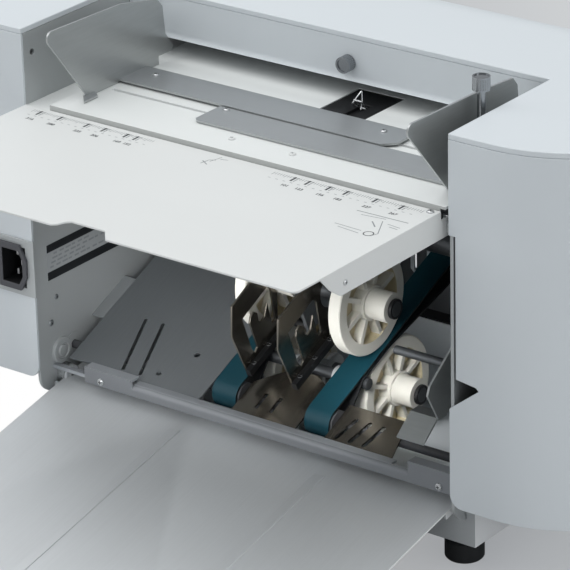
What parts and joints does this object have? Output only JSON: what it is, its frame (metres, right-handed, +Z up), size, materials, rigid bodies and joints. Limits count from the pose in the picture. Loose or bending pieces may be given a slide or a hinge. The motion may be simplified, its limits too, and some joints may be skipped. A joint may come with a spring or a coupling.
{
  "type": "paper folding machine",
  "caption": "Desk-top knife paper folding machine with feed tray, adjustable side guides, fold rollers and a belt delivery on to a low tray.",
  "frame": {"origin": "centre of the bounding box on the table under the feet", "axes": "X across the machine, +X to the right seen from the paper trays; -Y towards the trays, +Z up"},
  "size_m": [0.58, 0.4302, 0.3233],
  "materials": {
    "shell_white": "satin powder coat",
    "sheet_white": "satin powder coat",
    "plate_grey": "matt zinc-grey paint",
    "guide_steel": "brushed, satin",
    "dark_steel": "brushed, dark satin",
    "bright_steel": "turned or plated, bright",
    "tray_steel": "fine brushed, satin",
    "cast_grey": "bead blasted",
    "ivory_plastic": "moulded, slightly translucent",
    "black_plastic": "fine spark texture",
    "bezel_plastic": "fine spark texture",
    "belt_green": "smooth polyurethane cover",
    "roller_rubber": "ground rubber cover",
    "foot_rubber": "matt",
    "bronze": "sintered bronze",
    "brass": "bright",
    "board_green": "varnished laminate",
    "motor_paint": "matt enamel"
  },
  "bodies": {
    "chassis": {"base_pan": "shell_white", "feet": "foot_rubber", "left_side_plate": "plate_grey", "right_side_plate": "plate_grey", "left_housing": "shell_white", "right_housing": "shell_white", "top_cover": "shell_white", "hood_apron": "shell_white", "rear_panel": "shell_white", "inlet_plate": "plate_grey", "power_inlet": "bezel_plastic", "inlet_pins": "brass", "feed_tray": "sheet_white", "tray_spacers": "bright_steel", "case_screws": "bright_steel", "deck_plate": "sheet_white", "rear_deck": "sheet_white", "sensor_plate": "black_plastic", "crossbar": "cast_grey", "left_chute_plate": "dark_steel", "centre_chute_plate": "dark_steel", "comb_plate": "dark_steel", "belts": "belt_green", "shaft_bearings": "bronze", "wheel_shafts": "bright_steel", "shaft_collars": "black_plastic", "nip_arms": "dark_steel", "nip_crossbar": "dark_steel", "left_fin": "guide_steel", "right_fin": "guide_steel", "fin_rails": "black_plastic", "lower_brackets": "plate_grey", "wing_rod": "bright_steel", "tray_pivots": "bright_steel", "knife_motor": "motor_paint", "motor": "motor_paint", "conveyor_belt_drive": "roller_rubber", "control_board": "board_green", "belt_snub": "bright_steel"},
    "left_guide_body": {"left_guide": "guide_steel", "left_rack": "plate_grey"},
    "right_guide_body": {"right_guide": "guide_steel", "right_rack": "plate_grey", "guide_post": "bright_steel"},
    "thumbscrew_body": {"guide_thumbscrew": "bright_steel"},
    "pinion_body": {"guide_pinion": "ivory_plastic"},
    "feeler_body": {"feeler_wire": "bright_steel"},
    "knob_body": {"cover_knob": "bright_steel"},
    "front_rollers_body": {"front_belt_rollers": "roller_rubber"},
    "drive_roller_body": {"belt_drive_roller": "roller_rubber"},
    "upper_wheels_body": {"upper_wheels": "ivory_plastic"},
    "lower_wheels_body": {"lower_wheels": "ivory_plastic"},
    "wing_body": {"wing_guide": "guide_steel"},
    "tray_body": {"delivery_tray": "tray_steel"},
    "fold_front_body": {"front_fold_roller": "roller_rubber"},
    "fold_rear_body": {"rear_fold_roller": "roller_rubber"},
    "knife_body": {"fold_knife": "bright_steel"},
    "knife_shaft_body": {"knife_shaft": "plate_grey"},
    "motor_pinion_body": {"motor_pinion": "brass"},
    "reduction_body": {"reduction_gear": "ivory_plastic"}
  },
  "joints": [
    {"name": "left_guide_slide", "type": "slide", "parent": "chassis", "child": "left_guide_body", "axis": [1, 0, 0], "range_m": [-0.0035, 0.039]},
    {"name": "right_guide_slide", "type": "slide", "parent": "chassis", "child": "right_guide_body", "axis": [1, 0, 0], "range_m": [-0.039, 0.0035]},
    {"name": "guide_pinion_turn", "type": "hinge", "parent": "chassis", "child": "pinion_body", "pos_m": [0.008, 0.02789, 0.2473], "axis": [0, 0, 1], "range_deg": [-249, 23]},
    {"name": "thumbscrew_turn", "type": "hinge", "parent": "right_guide_body", "child": "thumbscrew_body", "pos_m": [0.16, 0.02114, 0.318], "axis": [0, 0, 1], "range_deg": [0, 360]},
    {"name": "feeler_press", "type": "hinge", "parent": "chassis", "child": "feeler_body", "pos_m": [0.026, 0.08214, 0.2538], "axis": [1, 0, 0], "range_deg": [0, 40], "stiffness_Nm_per_rad": 0.002},
    {"name": "cover_knob_turn", "type": "hinge", "parent": "chassis", "child": "knob_body", "pos_m": [0.014, 0.08254, 0.2835], "axis": [0, -1, 0], "continuous": true},
    {"name": "delivery_tray_tilt", "type": "hinge", "parent": "chassis", "child": "tray_body", "pos_m": [0, -0.00426, 0.0465], "axis": [1, 0, 0], "range_deg": [-30, 0]},
    {"name": "wing_slide", "type": "slide", "parent": "chassis", "child": "wing_body", "axis": [1, 0, 0], "range_m": [-0.06, 0.005]},
    {"name": "knife_drop", "type": "slide", "parent": "chassis", "child": "knife_body", "axis": [0, 0, 1], "range_m": [-0.04, 0]},
    {"name": "knife_shaft_turn", "type": "hinge", "parent": "chassis", "child": "knife_shaft_body", "pos_m": [0, 0.12414, 0.2693], "axis": [1, 0, 0], "range_deg": [-300, 20]},
    {"name": "fold_rear_turn", "type": "hinge", "parent": "chassis", "child": "fold_rear_body", "pos_m": [0, 0.15814, 0.219], "axis": [1, 0, 0], "continuous": true},
    {"name": "fold_front_turn", "type": "hinge", "parent": "chassis", "child": "fold_front_body", "pos_m": [0, 0.12214, 0.219], "axis": [1, 0, 0], "continuous": true},
    {"name": "belt_drive_turn", "type": "hinge", "parent": "chassis", "child": "drive_roller_body", "pos_m": [0, 0.16014, 0.13175], "axis": [1, 0, 0], "continuous": true},
    {"name": "belt_front_turn", "type": "hinge", "parent": "chassis", "child": "front_rollers_body", "pos_m": [0, 0.00774, 0.06328], "axis": [1, 0, 0], "continuous": true},
    {"name": "upper_wheels_turn", "type": "hinge", "parent": "chassis", "child": "upper_wheels_body", "pos_m": [0, 0.05044, 0.13372], "axis": [1, 0, 0], "continuous": true},
    {"name": "lower_wheels_turn", "type": "hinge", "parent": "chassis", "child": "lower_wheels_body", "pos_m": [0, 0.07884, 0.06081], "axis": [1, 0, 0], "continuous": true},
    {"name": "reduction_turn", "type": "hinge", "parent": "chassis", "child": "reduction_body", "pos_m": [0, 0.10514, 0.18956], "axis": [1, 0, 0], "continuous": true},
    {"name": "motor_turn", "type": "hinge", "parent": "chassis", "child": "motor_pinion_body", "pos_m": [0, 0.08994, 0.13983], "axis": [1, 0, 0], "continuous": true}
  ],
  "couplings": [
    {"joint": "right_guide_slide", "follows": "left_guide_slide", "ratio": -1},
    {"joint": "guide_pinion_turn", "follows": "left_guide_slide", "rad_per_m": -111.11},
    {"joint": "knife_shaft_turn", "follows": "knife_drop", "rad_per_m": 125},
    {"joint": "fold_front_turn", "follows": "fold_rear_turn", "ratio": -1},
    {"joint": "belt_drive_turn", "follows": "fold_rear_turn", "ratio": 1},
    {"joint": "belt_front_turn", "follows": "fold_rear_turn", "ratio": 0.76147},
    {"joint": "upper_wheels_turn", "follows": "fold_rear_turn", "ratio": -0.22678},
    {"joint": "lower_wheels_turn", "follows": "fold_rear_turn", "ratio": -0.22678},
    {"joint": "reduction_turn", "follows": "fold_rear_turn", "ratio": 1.125},
    {"joint": "motor_turn", "follows": "fold_rear_turn", "ratio": -3.75}
  ]
}
